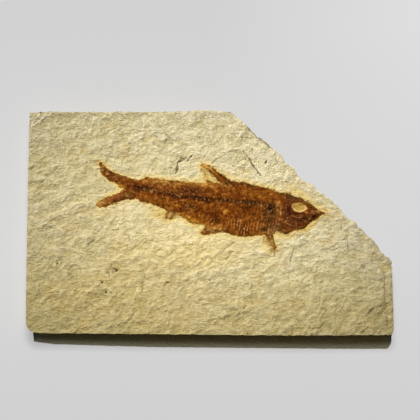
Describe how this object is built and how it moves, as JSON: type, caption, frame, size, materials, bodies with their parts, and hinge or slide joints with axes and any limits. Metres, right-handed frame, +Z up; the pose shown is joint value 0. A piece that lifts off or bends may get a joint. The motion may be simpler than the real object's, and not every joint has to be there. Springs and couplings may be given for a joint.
{
  "type": "fossil fish slab",
  "caption": "Flat limestone slab with three sawn edges and one broken corner, and a small fossil fish in low relief set in its upper face.",
  "frame": {"origin": "middle of the flat underside, under the centre of the bounding box", "axes": "+X along the long front edge towards the fish's snout, +Y to the back edge, +Z up out of the fossil face"},
  "size_m": [0.153, 0.1064, 0.0127],
  "materials": {
    "limestone": "matte, uneven bedding surface",
    "fossil_bone": "satin, dark brown mineralised bone"
  },
  "bodies": {
    "root": {"slab": "limestone", "fish": "fossil_bone"}
  },
  "joints": []
}
